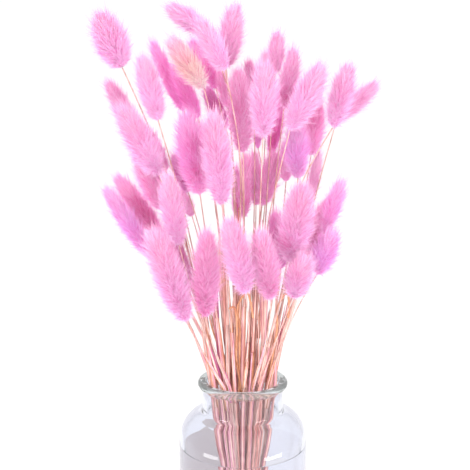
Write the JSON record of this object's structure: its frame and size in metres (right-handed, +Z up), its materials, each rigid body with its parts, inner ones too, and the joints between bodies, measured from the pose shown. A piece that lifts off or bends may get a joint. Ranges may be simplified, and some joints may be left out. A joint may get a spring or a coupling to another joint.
{
  "type": "dried bunny tail grass bunch in a jar",
  "caption": "Bunch of dyed dried bunny tail grass, fluffy oval seed heads on thin straw stems, standing in a clear round glass jar with a rolled lip, part filled with water.",
  "frame": {"origin": "centre of the jar's flat underside, on the surface it stands on", "axes": "+Z up along the jar's axis, +X to the right and -Y towards the viewer of the picture"},
  "size_m": [0.2221, 0.1665, 0.4492],
  "materials": {
    "jar_glass": "gloss",
    "water": "gloss",
    "straw": "matte",
    "head_pale": "matte",
    "head_pink": "matte",
    "head_deep": "matte",
    "head_salmon": "matte",
    "head_lilac": "matte"
  },
  "bodies": {
    "root": {"jar": "jar_glass", "water": "water", "stems": "straw", "head_01": "head_pale", "head_02": "head_pale", "head_03": "head_deep", "head_04": "head_deep", "head_05": "head_salmon", "head_06": "head_pale", "head_07": "head_pale", "head_08": "head_deep", "head_09": "head_pink", "head_10": "head_deep", "head_11": "head_pink", "head_12": "head_pink", "head_13": "head_pink", "head_14": "head_pale", "head_15": "head_pink", "head_16": "head_pink", "head_17": "head_deep", "head_18": "head_pale", "head_19": "head_pink", "head_20": "head_pale", "head_21": "head_pink", "head_22": "head_lilac", "head_23": "head_pink", "head_24": "head_pink", "head_25": "head_pink", "head_26": "head_pink", "head_27": "head_deep", "head_28": "head_pale", "head_29": "head_lilac", "head_30": "head_pink", "head_31": "head_pale", "head_32": "head_pink", "head_33": "head_pink", "head_34": "head_lilac", "head_35": "head_pink", "head_36": "head_pale", "head_37": "head_pink", "head_38": "head_pale", "head_39": "head_deep", "head_40": "head_pink", "head_41": "head_pink", "head_42": "head_pale", "head_43": "head_pink", "head_44": "head_pale", "head_45": "head_deep", "head_46": "head_lilac", "head_47": "head_pink", "head_48": "head_lilac", "head_49": "head_pale", "head_50": "head_pink", "head_51": "head_deep", "head_52": "head_pink", "head_53": "head_pale", "head_54": "head_pink", "head_55": "head_pale", "head_56": "head_pink"}
  },
  "joints": []
}
